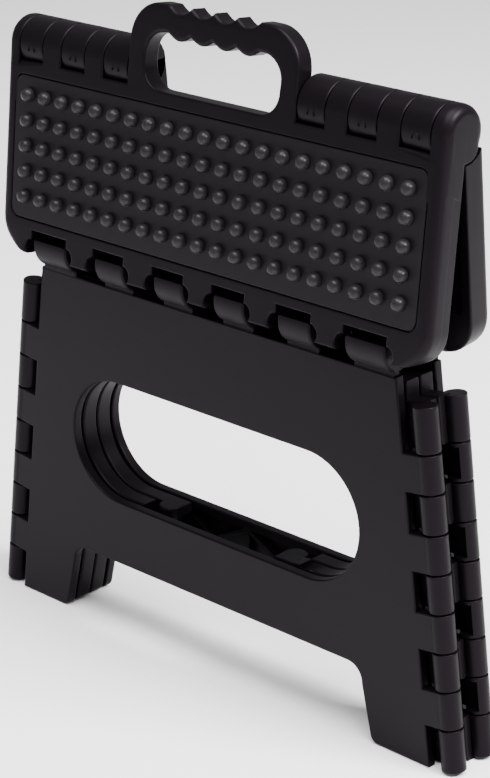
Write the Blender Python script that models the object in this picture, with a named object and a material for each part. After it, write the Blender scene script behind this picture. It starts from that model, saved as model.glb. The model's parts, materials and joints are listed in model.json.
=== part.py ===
"""Folding step stool, modelled folded flat and standing upright on its feet.

Two legs stand parallel. Two tread halves join them over the top, and two folding
sides join them at the corners. Every hinge is a row of knuckles on a steel rod.
Lengths are in metres: +X to the right, +Y away from the front, +Z up, with the
origin on the floor, midway between the legs.
"""

import math

import bmesh
import bpy
from mathutils import Matrix, Vector

# Driving dimensions
LINK = 0.102            # axis to axis, in each tread half and in each side half
STACK = 0.0107          # mid-plane to the leg's hinge plane, folded
LEG_AXIS_Z = 0.206      # height of the hinge between a leg and its tread half
CORNER_X = 0.156        # corner hinge at floor level, from the middle
LEAN = math.atan(0.13)  # the corner hinges lean in towards the top
GAP = 0.0003            # running gap between neighbours
INSET = 0.00015         # keeps the faces of joined shapes off one plane
FOLD = math.asin(STACK / LINK)  # tilt of a folded tread half off vertical

# Tread halves, along and across their own plane, measured from the leg hinge
TREAD_HALF_WIDTH = 0.143
TREAD_EDGE = -0.0058
TREAD_FACE = 0.0136
TREAD_BACK = -0.0015
TREAD_CORNER = 0.018
LUG_RADIUS = 0.0055
WINDOW_REACH = 0.0068
LOBE_RADIUS = 0.0046
LOBE_CENTRE = -0.0022
CENTRE_WINDOW = LINK - 0.0085
CENTRE_RADIUS = TREAD_FACE - 0.0001
FAR_KNUCKLES = [(0.05565, 0.07215), (0.08635, 0.10285), (0.11705, 0.13355)]
NEAR_KNUCKLES = [(0.07265, 0.08585), (0.10335, 0.11655), (0.13405, 0.14300)]
CUT_OUT_HALF_WIDTH = 0.05565
CUT_OUT_END = 0.0665
LUG_END = 0.1285        # outer end of the last knuckle at the leg hinge
END_CLEARANCE = 0.146   # far half: its last window runs off the end of the tread

# Underside of a tread half: a skin, a rim all round, and a grid of lower ribs
SKIN = 0.0036
RIB_LEVEL = 0.0056      # the ribs stop here, well short of the rim
RIB = 0.0022
RIB_LINES_X = (0.0, 0.0600, 0.0995, 0.1390)
RIB_ROWS = ((0.0155, 0.0375), (0.0397, 0.0600), (0.0622, 0.0840))

# Handle, part of the near tread half
HANDLE_HALF_WIDTH = 0.0550
HANDLE_TOP = 0.1356
HANDLE_BACK = 0.0034
HANDLE_CORNER = 0.0195
GRIP_HALF_WIDTH = 0.0442
GRIP_LOW = 0.0935
GRIP_HIGH = 0.1218
GRIP_CORNER = 0.012
FINGER_PITCH = 0.01475
FINGER_DEPTH = 0.0036
FINGERS = 4

# Grip mats
MAT_HALF_WIDTH = 0.1355
MAT_LOW = 0.0121
MAT_HIGH = 0.0867
MAT_CORNER = 0.0055
MAT_RECESS = 0.0014
MAT_GROOVE = 0.0005
DOT_PITCH_X = 0.0125
DOT_PITCH_S = 0.01313
DOT_FIRST_S = 0.02397
DOT_COLUMNS = 21
DOT_ROWS = 5
DOT_RADIUS = 0.0035
DOT_HEIGHT = 0.0040
DOT_TIP_RADIUS = 0.0014

# Legs
LEG_TOP = 0.193
LEG_OUT = 0.0060        # plate's outer face, from the hinge plane
LEG_IN = 0.0005
LEG_EDGE = 0.0109       # corner axis to the plate's edge
LEG_KNUCKLES = [(0.0097, 0.0311), (0.0516, 0.0734), (0.0934, 0.1192)]
LEG_KNUCKLE_RADIUS = 0.0126
LEG_KNUCKLE_TOP = 0.0032    # the knuckle's flat top, just over its rod
LEG_KNUCKLE_FLAT = -0.0095  # the knuckle's flat back, towards the other leg
LEG_KNUCKLE_HEEL = -0.0083  # the flat ends here, below the hinge
KNUCKLE_START = 152         # degrees: where the round outside meets the neck
NECK_IN = 0.0011
NECK_OUT = 0.0054
NECK_BACK = -0.0118         # heights, from the hinge, of the neck's corners
NECK_FRONT = -0.0113
NECK_LOW = -0.0145
LEG_BORE_END = 0.128
HOLE_Z = 0.1083
HOLE_RADIUS = 0.0334
HOLE_STRAIGHT = 0.0654
BAND_LOW = 0.039
FOOT_INNER_TOP = Vector((0.102, 0.030))
FOOT_INNER_LOW = Vector((0.109, 0.0))
CROTCH_RADIUS = 0.009
FOOT_CORNER = 0.005

# Corner and fold hinges
CORNER_RADIUS = 0.0062
COLUMN_TOP = 0.1835
COLUMN_END = 0.0232     # length of the first and last knuckle
COLUMN_MIDDLES = 7
FOLD_RADIUS = 0.0062
FOLD_BANDS = [(0.0535, 0.0885), (0.1572, COLUMN_TOP)]
FOLD_NOTCH = 0.0100     # a half stands back this far where the other half's knuckles are
ARM_REACH = 0.0115      # from the fold to where a knuckle's arm ends in its own half

# Side halves: each has a skin next to its leg, and a rim that turns in to the middle
SIDE_TOP = 0.1925
SIDE_IN = STACK - 0.0004
SIDE_SKIN = 0.0024
SIDE_RIM = 0.0025
KNUCKLE_TRIM = 0.0004

# Rods
ROD_RADIUS = 0.0015
BORE_RADIUS = 0.0018
ROD_END = 0.006         # plastic left beyond a rod's end
LEG_ROD_END = 0.1272
CENTRE_ROD_START = 0.0580
FOLD_ROD_INSET = 0.003

BLACK = (0.020, 0.018, 0.021, 1.0)
DOT_GREY = (0.085, 0.080, 0.088, 1.0)
STEEL = (0.55, 0.56, 0.58, 1.0)

HALF_TURN = Matrix.Rotation(math.pi, 4, "Z")
TREAD = (Matrix.Translation((0, -STACK, LEG_AXIS_Z))
         @ Matrix.Rotation(math.pi / 2 - FOLD, 4, "X"))
LEG = Matrix.Translation((0, -STACK, 0)) @ Matrix.Rotation(math.pi / 2, 4, "X")
# profile frame: local x is height, local y is outward, and the extrusion runs along +X
ACROSS = Matrix(((0, 0, 1, 0), (0, -1, 0, 0), (1, 0, 0, 0), (0, 0, 0, 1)))


def fresh_scene():
    for obj in list(bpy.data.objects):
        bpy.data.objects.remove(obj)
    collections = []
    for name in ("step_stool", "cutters"):
        collection = bpy.data.collections.new(name)
        bpy.context.scene.collection.children.link(collection)
        collections.append(collection)
    return collections


PARTS, CUTTERS = fresh_scene()


def scratch(mesh, name):
    """A working solid, kept out of the finished parts."""
    obj = bpy.data.objects.new(name, mesh)
    CUTTERS.objects.link(obj)
    obj.hide_render = True
    obj.display_type = "WIRE"
    return obj


def evaluated_mesh(obj):
    graph = bpy.context.evaluated_depsgraph_get()
    return bpy.data.meshes.new_from_object(obj.evaluated_get(graph))


def arc(centre, radius, start, end, steps):
    """Points round a centre from one angle to another, in degrees."""
    turns = [math.radians(start + (end - start) * i / steps) for i in range(steps + 1)]
    return [(centre[0] + radius * math.cos(a), centre[1] + radius * math.sin(a)) for a in turns]


def rounded_box(half_width, low, high, radius, steps=6):
    x, a, b = half_width - radius, low + radius, high - radius
    return (arc((x, a), radius, -90, 0, steps) + arc((x, b), radius, 0, 90, steps)
            + arc((-x, b), radius, 90, 180, steps) + arc((-x, a), radius, 180, 270, steps))


def plate(name, outlines, low, high, frame):
    """A flat outline, with any holes, extruded from low to high along the frame's z."""
    curve = bpy.data.curves.new(name, "CURVE")
    curve.dimensions = "2D"
    curve.fill_mode = "BOTH"
    curve.extrude = (high - low) / 2
    for outline in outlines:
        spline = curve.splines.new("POLY")
        spline.points.add(len(outline) - 1)
        for point, (x, y) in zip(spline.points, outline):
            point.co = (x, y, 0, 1)
        spline.use_cyclic_u = True
    shape = scratch(curve, name)
    mesh = evaluated_mesh(shape)
    bpy.data.objects.remove(shape)
    mesh.transform(frame @ Matrix.Translation((0, 0, (low + high) / 2)))
    weld = bmesh.new()
    weld.from_mesh(mesh)
    bmesh.ops.remove_doubles(weld, verts=weld.verts, dist=0.000001)
    bmesh.ops.recalc_face_normals(weld, faces=weld.faces)
    weld.to_mesh(mesh)
    weld.free()
    return scratch(mesh, name)


def cylinders(name, spans, radius, sides, frame):
    """Capped cylinders, one for each (start, end) pair of points in the frame."""
    shape = bmesh.new()
    for start, end in spans:
        start, end = frame @ Vector(start), frame @ Vector(end)
        along = end - start
        turn = along.to_track_quat("Z", "Y").to_matrix().to_4x4()
        place = Matrix.Translation((start + end) / 2) @ turn
        bmesh.ops.create_cone(shape, cap_ends=True, segments=sides, radius1=radius,
                              radius2=radius, depth=along.length, matrix=place)
    mesh = bpy.data.meshes.new(name)
    shape.to_mesh(mesh)
    shape.free()
    return scratch(mesh, name)


def blocks(name, corners, frame):
    """Boxes, one for each (low corner, high corner) pair in the frame."""
    shape = bmesh.new()
    for low, high in corners:
        low, high = Vector(low), Vector(high)
        size = high - low
        place = frame @ Matrix.Translation((low + high) / 2) @ Matrix.Diagonal((*size, 1))
        bmesh.ops.create_cube(shape, size=1, matrix=place)
    mesh = bpy.data.meshes.new(name)
    shape.to_mesh(mesh)
    shape.free()
    return scratch(mesh, name)


def combine(body, operation, tool):
    """Join a tool to a body, or cut it away, and use the tool up."""
    step = body.modifiers.new(operation, "BOOLEAN")
    step.operation = operation
    step.solver = "EXACT"
    step.object = tool
    mesh = evaluated_mesh(body)
    body.modifiers.clear()
    old = body.data
    body.data = mesh
    bpy.data.meshes.remove(old)
    bpy.data.objects.remove(tool)


def plastic(name, colour, roughness, metallic=0.0):
    finish = bpy.data.materials.new(name)
    finish.use_nodes = True
    shader = finish.node_tree.nodes["Principled BSDF"]
    shader.inputs["Base Color"].default_value = colour
    shader.inputs["Roughness"].default_value = roughness
    shader.inputs["Metallic"].default_value = metallic
    return finish


def finish_part(obj, name, pivot, colour=BLACK, roughness=0.45, metallic=0.0):
    """Name a finished solid, and put its origin on its hinge axis."""
    pivot = Vector(pivot)
    obj.data.transform(Matrix.Translation(-pivot))
    obj.location = pivot
    obj.name = name
    obj.data.name = name
    obj.data.materials.clear()
    obj.data.materials.append(plastic(name, colour, roughness, metallic))
    obj.data.shade_smooth()
    obj.data.set_sharp_from_angle(angle=math.radians(32))
    CUTTERS.objects.unlink(obj)
    PARTS.objects.link(obj)
    obj.hide_render = False
    obj.display_type = "TEXTURED"


def both_sides(spans):
    """The same spans on the left and on the right of the middle."""
    return [(-b, -a) for a, b in reversed(spans)] + list(spans)


def across(spans, s, p):
    """Spans along x as pairs of points on the line at s, p."""
    return [((a, s, p), (b, s, p)) for a, b in spans]


def widened(spans, by):
    return [(a - by, b + by) for a, b in spans]


# Tread halves

def lower_edge():
    """The edge at the leg hinge, left to right, with a lobed window for each leg knuckle."""
    cut = math.degrees(math.asin((LOBE_CENTRE - TREAD_EDGE) / LOBE_RADIUS))
    points = []
    for a, b in both_sides(LEG_KNUCKLES):
        points += arc((a, LOBE_CENTRE), LOBE_RADIUS, 180 + cut, 90, 4)
        points += [(a, WINDOW_REACH), (b, WINDOW_REACH)]
        points += arc((b, LOBE_CENTRE), LOBE_RADIUS, 90, -cut, 4)
    return points


def tread_outline(gap_half_width, gap_low, corner):
    """A half's outline: lobed lower edge, rounded lower corners, gap in the upper edge."""
    w, r = TREAD_HALF_WIDTH, TREAD_CORNER
    right = arc((w - r, TREAD_EDGE + r), r, -90, 0, 4) + [(w, LINK), (gap_half_width, LINK)]
    floor = arc((gap_half_width - corner, gap_low + corner), corner, 0, -90, 4)
    gap = floor + [(-x, s) for x, s in reversed(floor)]
    left = [(-gap_half_width, LINK), (-w, LINK)] + arc((-w + r, TREAD_EDGE + r), r, 180, 270, 4)
    return lower_edge() + right + gap + left


def finger_wave(x):
    """Depth of the finger scallops across the handle, nought outside them."""
    reach = FINGERS * FINGER_PITCH / 2
    if abs(x) >= reach:
        return 0.0
    return FINGER_DEPTH * abs(math.sin(math.pi * (x + reach) / FINGER_PITCH))


def handle_outlines():
    steps = FINGERS * 4
    reach = FINGERS * FINGER_PITCH / 2
    xs = [reach - 2 * reach * i / steps for i in range(steps + 1)]
    w, r = HANDLE_HALF_WIDTH, HANDLE_CORNER
    root = GRIP_LOW - 0.006
    outer = [(w, root)] + arc((w - r, HANDLE_TOP - r), r, 0, 90, 5)
    outer += [(x, HANDLE_TOP - finger_wave(x)) for x in xs]
    outer += arc((-w + r, HANDLE_TOP - r), r, 90, 180, 5) + [(-w, root)]
    g, c = GRIP_HALF_WIDTH, GRIP_CORNER
    hole = arc((g - c, GRIP_LOW + c), c, -90, 0, 4) + arc((g - c, GRIP_HIGH - c), c, 0, 90, 4)
    hole += [(x, GRIP_HIGH - 0.85 * finger_wave(x)) for x in xs]
    hole += arc((-g + c, GRIP_HIGH - c), c, 90, 180, 4)
    hole += arc((-g + c, GRIP_LOW + c), c, 180, 270, 4)
    return [outer, hole]


def underside(cut_out):
    """Hollows under the tread: a shallow tray, then deeper pockets between its ribs.

    A half with a cut-out has a narrower tray on each side of the cut-out's rim.
    """
    roof, below = TREAD_FACE - SKIN, TREAD_BACK - 0.002
    middle, end = RIB_LINES_X[1] + RIB / 2, RIB_LINES_X[-1] - RIB / 2
    low, full, high = RIB_ROWS[0][0], RIB_ROWS[1][1], RIB_ROWS[-1][1]
    trays = [((-end, low, below), (end, full if cut_out else high, RIB_LEVEL))]
    if cut_out:
        for a, b in both_sides([(middle, end - INSET)]):
            trays.append(((a, full - RIB, below), (b, high, RIB_LEVEL - INSET)))
    rim = RIB / 2 + INSET
    pockets = []
    for a, b in both_sides(list(zip(RIB_LINES_X, RIB_LINES_X[1:]))):
        inside = max(abs(a), abs(b)) < middle
        for s0, s1 in RIB_ROWS[:2] if cut_out and inside else RIB_ROWS:
            start, end = (a + rim, s0 + INSET, RIB_LEVEL - 0.001), (b - rim, s1 - INSET, roof)
            pockets.append((start, end))
    return trays, pockets


def tread_half(name, turn, own, other, outlines, handle):
    """A half: plate, handle or cut-out, barrels at both hinges, windows, mat recess."""
    frame = turn @ TREAD
    body = plate(name, outlines, TREAD_BACK, TREAD_FACE, frame)
    beyond = [((-0.2, -GAP, LEG_AXIS_Z + LINK / 2), (0.2, STACK, LEG_AXIS_Z + LINK + 0.01))]
    combine(body, "DIFFERENCE", blocks("middle", beyond, turn))
    if handle:
        grip = plate("handle", handle_outlines(), HANDLE_BACK, TREAD_FACE, frame)
        combine(body, "UNION", grip)
    trays, pockets = underside(not handle)
    for tray in trays:
        combine(body, "DIFFERENCE", blocks("tray", [tray], frame))
    combine(body, "DIFFERENCE", blocks("pockets", pockets, frame))
    notch = [((a, CENTRE_WINDOW, -0.004), (b, LINK + 0.02, TREAD_FACE + 0.004))
             for a, b in other]
    combine(body, "DIFFERENCE", blocks("windows", notch, frame))
    room = CENTRE_RADIUS + 2 * GAP
    combine(body, "DIFFERENCE", cylinders("clear", across(other, LINK, 0), room, 20, frame))
    leg_room = LEG_KNUCKLE_RADIUS + 2 * GAP
    leg_spans = across(widened(both_sides(LEG_KNUCKLES), -INSET), 0, 0)
    combine(body, "DIFFERENCE", cylinders("clear", leg_spans, leg_room, 20, frame))
    barrels = across(widened(own, -INSET), LINK, 0)
    combine(body, "UNION", cylinders("barrels", barrels, CENTRE_RADIUS, 24, frame))
    combine(body, "UNION", cylinders("lugs", across(tread_lugs(), 0, 0), LUG_RADIUS, 10, frame))
    combine(body, "DIFFERENCE", cylinders("bores", tread_rods(GAP), BORE_RADIUS, 6, frame))
    return body


def tread_lugs():
    """The half's own knuckles at the leg hinge, between the lobed windows."""
    ends = [0.0] + [v for span in LEG_KNUCKLES for v in span]
    clear = LOBE_RADIUS + 0.0004
    inner = [(-ends[1] + clear, ends[1] - clear)]
    outer = [(ends[2] + clear, ends[3] - clear), (ends[4] + clear, ends[5] - clear),
             (ends[6] + clear, LUG_END)]
    return [(-b, -a) for a, b in reversed(outer)] + inner + outer


def tread_rods(extra=0.0):
    """The rods of a tread half: across its leg hinge, and left and right at the centre."""
    leg_end = LEG_ROD_END + extra
    low, high = CENTRE_ROD_START - extra, TREAD_HALF_WIDTH - 0.0040 + extra
    return [((-leg_end, 0, 0), (leg_end, 0, 0)),
            ((low, LINK, 0), (high, LINK, 0)), ((-high, LINK, 0), (-low, LINK, 0))]


def mat_outline(inset, notched):
    """Rounded outline of the grip mat; the far one has a step round the cut-out."""
    w, low, high = MAT_HALF_WIDTH - inset, MAT_LOW + inset, MAT_HIGH - inset
    if not notched:
        return rounded_box(w, low, high, MAT_CORNER)
    x, s, r = CUT_OUT_HALF_WIDTH + 0.007 + inset, CUT_OUT_END - 0.0095 - inset, MAT_CORNER
    half = arc((w - r, low + r), r, -90, 0, 6) + arc((w - r, high - r), r, 0, 90, 6)
    half += arc((x + 0.004, high - 0.004), 0.004, 90, 180, 3) + [(x, s)]
    return half + [(-a, b) for a, b in reversed(half)]


def dot_centres(notched):
    edge = CUT_OUT_HALF_WIDTH + 0.007 + DOT_RADIUS
    limit = CUT_OUT_END - 0.0095 - DOT_RADIUS
    for row in range(DOT_ROWS):
        s = DOT_FIRST_S + row * DOT_PITCH_S
        for column in range(DOT_COLUMNS):
            x = (column - (DOT_COLUMNS - 1) / 2) * DOT_PITCH_X
            if not notched or abs(x) > edge or s < limit:
                yield x, s


def grip_mat(name, frame, notched, pivot):
    """A thin mat with a grid of low studs, lying in the tread's recess."""
    under = TREAD_FACE - MAT_RECESS + GAP
    mat = plate(name, [mat_outline(MAT_GROOVE, notched)], under, TREAD_FACE, frame)
    studs = bmesh.new()
    base = TREAD_FACE - 0.0004
    for x, s in dot_centres(notched):
        place = frame @ Matrix.Translation((x, s, base + (DOT_HEIGHT + 0.0004) / 2))
        bmesh.ops.create_cone(studs, cap_ends=True, segments=6, radius1=DOT_RADIUS,
                              radius2=DOT_TIP_RADIUS, depth=DOT_HEIGHT + 0.0004, matrix=place)
    mesh = bpy.data.meshes.new("studs")
    studs.to_mesh(mesh)
    studs.free()
    combine(mat, "UNION", scratch(mesh, "studs"))
    finish_part(mat, name, pivot, DOT_GREY, 0.5)


def make_treads():
    near_other = both_sides(widened(FAR_KNUCKLES, 0.0005))
    last_window = (FAR_KNUCKLES[-1][1], END_CLEARANCE)
    far_other = both_sides(widened(NEAR_KNUCKLES[:2], 0.0005) + [last_window])
    near_outline = [tread_outline(HANDLE_HALF_WIDTH, GRIP_LOW - 0.003, 0.001)]
    far_outline = [tread_outline(CUT_OUT_HALF_WIDTH, CUT_OUT_END, 0.008)]
    still, far_frame = Matrix.Identity(4), HALF_TURN @ TREAD
    near = tread_half("near", still, both_sides(NEAR_KNUCKLES), near_other, near_outline, True)
    far = tread_half("far", HALF_TURN, both_sides(FAR_KNUCKLES), far_other, far_outline, False)
    for body, frame, notched in ((near, TREAD, False), (far, far_frame, True)):
        seat = plate("seat", [mat_outline(0, notched)], TREAD_FACE - MAT_RECESS,
                     TREAD_FACE + 0.002, frame)
        combine(body, "DIFFERENCE", seat)
    near_pivot = TREAD @ Vector((0, 0, 0))
    centre_pivot = TREAD @ Vector((0, LINK, 0))
    finish_part(near, "near_tread", near_pivot)
    finish_part(far, "far_tread", centre_pivot)
    grip_mat("near_grip_mat", TREAD, False, near_pivot)
    grip_mat("far_grip_mat", far_frame, True, centre_pivot)


# Legs and sides

def corner(hand):
    """Frame on a leg's corner hinge: x across, y up the axis, z outward."""
    return (LEG @ Matrix.Translation((hand * CORNER_X, 0, 0))
            @ Matrix.Rotation(hand * LEAN, 4, "Z"))


def fold_line(hand):
    """Frame on the fold between a side's two halves, parallel to its corner hinge."""
    return corner(hand) @ Matrix.Translation((-hand * LINK * math.cos(FOLD), 0, -STACK))


def axis_x(z):
    return CORNER_X - z * math.tan(LEAN)


def column_spans():
    """Knuckle spans up a corner: the sides' ones first and last, the leg's between them."""
    middle = (COLUMN_TOP - 2 * COLUMN_END) / COLUMN_MIDDLES
    marks = [0.0008] + [COLUMN_END + i * middle for i in range(COLUMN_MIDDLES + 1)] + [COLUMN_TOP]
    spans = list(zip(marks, marks[1:]))
    return spans[0::2], spans[1::2]


def up(spans, trim):
    return [((0, a + trim, 0), (0, b - trim, 0)) for a, b in spans]


def foot_corner():
    """The rounded inner corner of the right foot, from its inner edge to the floor."""
    splay = math.atan2(FOOT_INNER_LOW.x - FOOT_INNER_TOP.x, FOOT_INNER_TOP.y)
    centre_x = FOOT_INNER_LOW.x + FOOT_CORNER / math.tan((math.pi / 2 + splay) / 2)
    return arc((centre_x, FOOT_CORNER), FOOT_CORNER, 180 + math.degrees(splay), 270, 4)


def leg_outlines():
    """A leg's outline, out to the corner axes and up to its knuckles, and its grip hole."""
    column_top = COLUMN_TOP * math.cos(LEAN)
    edge = LEG_EDGE / math.cos(LEAN)
    half = foot_corner() + [(axis_x(0), 0), (axis_x(column_top), column_top),
            (axis_x(column_top) - edge, column_top), (axis_x(LEG_TOP) - edge, LEG_TOP)]
    left = [(-x, z) for x, z in reversed(half)]
    r = CROTCH_RADIUS
    crotch = arc((r - FOOT_INNER_TOP.x, FOOT_INNER_TOP.y), r, 180, 90, 5)
    crotch += [(-x, z) for x, z in reversed(crotch)]
    hole = arc((HOLE_STRAIGHT, HOLE_Z), HOLE_RADIUS, -90, 90, 10)
    hole += arc((-HOLE_STRAIGHT, HOLE_Z), HOLE_RADIUS, 90, 270, 10)
    return [half + left + crotch, hole]


def leg_knuckle_profile():
    """Round on its outer side, flat on top and towards the other leg; a neck runs down."""
    top = math.degrees(math.acos(LEG_KNUCKLE_TOP / LEG_KNUCKLE_RADIUS))
    rise = arc((0, 0), LEG_KNUCKLE_RADIUS, KNUCKLE_START, top, 8)
    back = [(LEG_KNUCKLE_TOP, LEG_KNUCKLE_FLAT), (LEG_KNUCKLE_HEEL, LEG_KNUCKLE_FLAT),
            (NECK_BACK, NECK_IN)]
    neck = [(NECK_LOW, NECK_IN), (NECK_LOW, NECK_OUT), (NECK_FRONT, NECK_OUT)]
    return rise + back + neck


def leg(name, turn, pivot):
    body = plate(name, leg_outlines(), LEG_IN, LEG_OUT, turn @ LEG)
    sides, own = column_spans()
    for hand in (-1, 1):
        frame = turn @ corner(hand)
        x = sorted((-hand * LEG_EDGE, hand * 0.02))
        low, high = sides[0][0] - 0.02, sides[-1][1] + 0.01
        spans = [(low, sides[0][1])] + sides[1:-1] + [(sides[-1][0], high)]
        gaps = [((x[0], a, -0.012), (x[1], b, 0.012)) for a, b in spans]
        combine(body, "DIFFERENCE", blocks("gaps", gaps, frame))
        combine(body, "UNION", cylinders("knuckles", up(own, KNUCKLE_TRIM), CORNER_RADIUS,
                                         12, frame))
        bore = [((0, ROD_END - GAP, 0), (0, COLUMN_TOP - ROD_END + GAP, 0))]
        combine(body, "DIFFERENCE", cylinders("bore", bore, BORE_RADIUS, 6, frame))
    axis = turn @ Matrix.Translation((0, -STACK, LEG_AXIS_Z)) @ ACROSS
    for a, b in both_sides(LEG_KNUCKLES):
        low, high = a + 2 * GAP, b - 2 * GAP
        combine(body, "UNION", plate("knuckle", [leg_knuckle_profile()], low, high, axis))
    bore = [((-LEG_BORE_END, 0, 0), (LEG_BORE_END, 0, 0))]
    line = turn @ Matrix.Translation((0, -STACK, LEG_AXIS_Z))
    combine(body, "DIFFERENCE", cylinders("bore", bore, BORE_RADIUS, 6, line))
    finish_part(body, name, pivot)


def on_corner(u, w):
    """Panel point for a point u across and w up the right-hand corner hinge."""
    c, s = math.cos(LEAN), math.sin(LEAN)
    return (CORNER_X + u * c - w * s, u * s + w * c)


def side_outline(hand):
    """Half a side: it copies the leg's foot, band and grip hole, out to the fold.

    Its top is square to the corner hinge, so that it is level when the side stands open.
    """
    width = LINK * math.cos(FOLD) - GAP
    fold_x = lambda z: CORNER_X - width / math.cos(LEAN) - z * math.tan(LEAN)
    low, high = HOLE_Z - HOLE_RADIUS, HOLE_Z + HOLE_RADIUS
    points = foot_corner() + [(axis_x(0), 0), on_corner(0, COLUMN_TOP)]
    points += [on_corner(-LEG_EDGE, COLUMN_TOP), on_corner(-LEG_EDGE, SIDE_TOP)]
    points += [on_corner(-width, SIDE_TOP), (fold_x(high), high)]
    points += arc((HOLE_STRAIGHT, HOLE_Z), HOLE_RADIUS, 90, -90, 10)
    points += [(fold_x(low), low), (fold_x(BAND_LOW), BAND_LOW)]
    points += arc((FOOT_INNER_TOP.x - CROTCH_RADIUS, FOOT_INNER_TOP.y), CROTCH_RADIUS, 90, 0, 5)
    return points if hand > 0 else [(-x, z) for x, z in reversed(points)]


def side_hollows(hand):
    """Shallow hollows in a half's inner face: bands in the panel, the rest along the hinge.

    Each is (frame, low corner, high corner), with x running from the middle outwards.
    """
    deep, open_face = -LEG_IN - SIDE_SKIN, -SIDE_IN - 0.001
    low, high = HOLE_Z - HOLE_RADIUS - SIDE_RIM, HOLE_Z + HOLE_RADIUS + SIDE_RIM
    bands = [(0.0575, 0.0960, BAND_LOW + SIDE_RIM, low), (0.0450, 0.1120, high, 0.1765)]
    hinge = LEG_EDGE + SIDE_RIM
    strips = [(0.0420, hinge, 0.0045, 0.0360), (0.0460, hinge, 0.0385, 0.0765),
              (0.0400, hinge, 0.0790, 0.1400)]
    found = []
    for a, b, z0, z1 in bands:
        x0, x1 = sorted((hand * a, hand * b))
        found.append((LEG, (x0, z0, open_face), (x1, z1, deep)))
    for a, b, w0, w1 in strips:
        x0, x1 = sorted((-hand * a, -hand * b))
        found.append((corner(hand), (x0, w0, open_face), (x1, w1, deep)))
    return found


def fold_spans(outer):
    """Knuckle spans on the fold: the first and third of each band, or the second."""
    spans = []
    for low, high in FOLD_BANDS:
        third = (high - low) / 3
        marks = [low, low + third, high - third, high]
        all_three = list(zip(marks, marks[1:]))
        spans += all_three[0::2] if outer else all_three[1:2]
    return spans


def side_half(name, hand, outer, turn, pivot):
    """Near half of the side on the given hand; a half turn of it makes a far one."""
    body = plate(name, [side_outline(hand)], -SIDE_IN, -LEG_IN, turn @ LEG)
    frame, fold = turn @ corner(hand), turn @ fold_line(hand)
    for place, start, end in side_hollows(hand):
        combine(body, "DIFFERENCE", blocks("hollow", [(start, end)], turn @ place))
    own, legs = column_spans()
    x = sorted((-hand * LEG_EDGE, hand * 0.02))
    gaps = [((x[0], a, -0.012), (x[1], b, 0.012)) for a, b in legs]
    combine(body, "DIFFERENCE", blocks("gaps", gaps, frame))
    combine(body, "UNION", cylinders("knuckles", up(own, KNUCKLE_TRIM), CORNER_RADIUS, 12, frame))
    x = sorted((-hand * 0.01, hand * FOLD_NOTCH))
    ends = [edge for band in FOLD_BANDS for edge in band]
    spare = lambda edge: 0.0015 if edge in ends else INSET
    notches = [((x[0], a - spare(a), -STACK), (x[1], b + spare(b), STACK + LEG_IN))
               for a, b in fold_spans(not outer)]
    combine(body, "DIFFERENCE", blocks("notches", notches, fold))
    mine = fold_spans(outer)
    arms = sorted((-hand * (FOLD_RADIUS - INSET), hand * ARM_REACH))
    arm_top = STACK - LEG_IN - INSET
    arm_blocks = [((arms[0], a + 1.5 * KNUCKLE_TRIM, GAP), (arms[1], b - 1.5 * KNUCKLE_TRIM, arm_top))
                  for a, b in mine]
    combine(body, "UNION", blocks("arms", arm_blocks, fold))
    combine(body, "UNION", cylinders("knuckles", up(mine, KNUCKLE_TRIM), FOLD_RADIUS, 14, fold))
    bore = [((0, ROD_END - GAP, 0), (0, COLUMN_TOP - ROD_END + GAP, 0))]
    combine(body, "DIFFERENCE", cylinders("bore", bore, BORE_RADIUS, 6, frame))
    combine(body, "DIFFERENCE", cylinders("bore", fold_rods(GAP), BORE_RADIUS, 6, fold))
    finish_part(body, name, pivot)


def fold_rods(extra=0.0):
    inset = FOLD_ROD_INSET - extra
    return [((0, a + inset, 0), (0, b - inset, 0)) for a, b in FOLD_BANDS]


def make_legs_and_sides():
    near_axis = Vector((0, -STACK, LEG_AXIS_Z))
    leg("near_leg", Matrix.Identity(4), near_axis)
    leg("far_leg", HALF_TURN, HALF_TURN @ near_axis)
    for word, hand, outer in (("left", -1, False), ("right", 1, True)):
        origin = corner(hand) @ Vector((0, 0, 0))
        fold = fold_line(hand) @ Vector((0, 0, 0))
        side_half("near_" + word + "_side", hand, outer, Matrix.Identity(4), origin)
        side_half("far_" + word + "_side", -hand, not outer, HALF_TURN, fold)


# Rods

def rod(name, span, frame):
    body = cylinders(name, [span], ROD_RADIUS, 10, frame)
    finish_part(body, name, frame @ Vector(span[0]), STEEL, 0.3, 1.0)


def make_rods():
    leg_rod, right_rod, left_rod = tread_rods()
    rod("near_tread_rod", leg_rod, TREAD)
    rod("far_tread_rod", leg_rod, HALF_TURN @ TREAD)
    rod("centre_right_rod", right_rod, TREAD)
    rod("centre_left_rod", left_rod, TREAD)
    column = ((0, ROD_END, 0), (0, COLUMN_TOP - ROD_END, 0))
    for word, hand in (("left", -1), ("right", 1)):
        rod("near_" + word + "_corner_rod", column, corner(hand))
        rod("far_" + word + "_corner_rod", column, HALF_TURN @ corner(-hand))
        low, high = fold_rods()
        rod(word + "_lower_fold_rod", low, fold_line(hand))
        rod(word + "_upper_fold_rod", high, fold_line(hand))


make_treads()
make_legs_and_sides()
make_rods()
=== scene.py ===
# %% [markdown]
# # A folding step stool
#
# A black plastic stool stands folded on its feet: two legs, two tread halves with
# rubber studs, and two sides that fold in between the legs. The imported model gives
# every place and hinge. This notebook makes the surfaces that the eye sees: panels
# with rounded edges, round knuckles, ribs, studs, and two plastics and a steel.

# %% Load the frame
import json
import math

import bpy
import numpy as np
from mathutils import Matrix, Vector
from mathutils.geometry import tessellate_polygon


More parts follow.
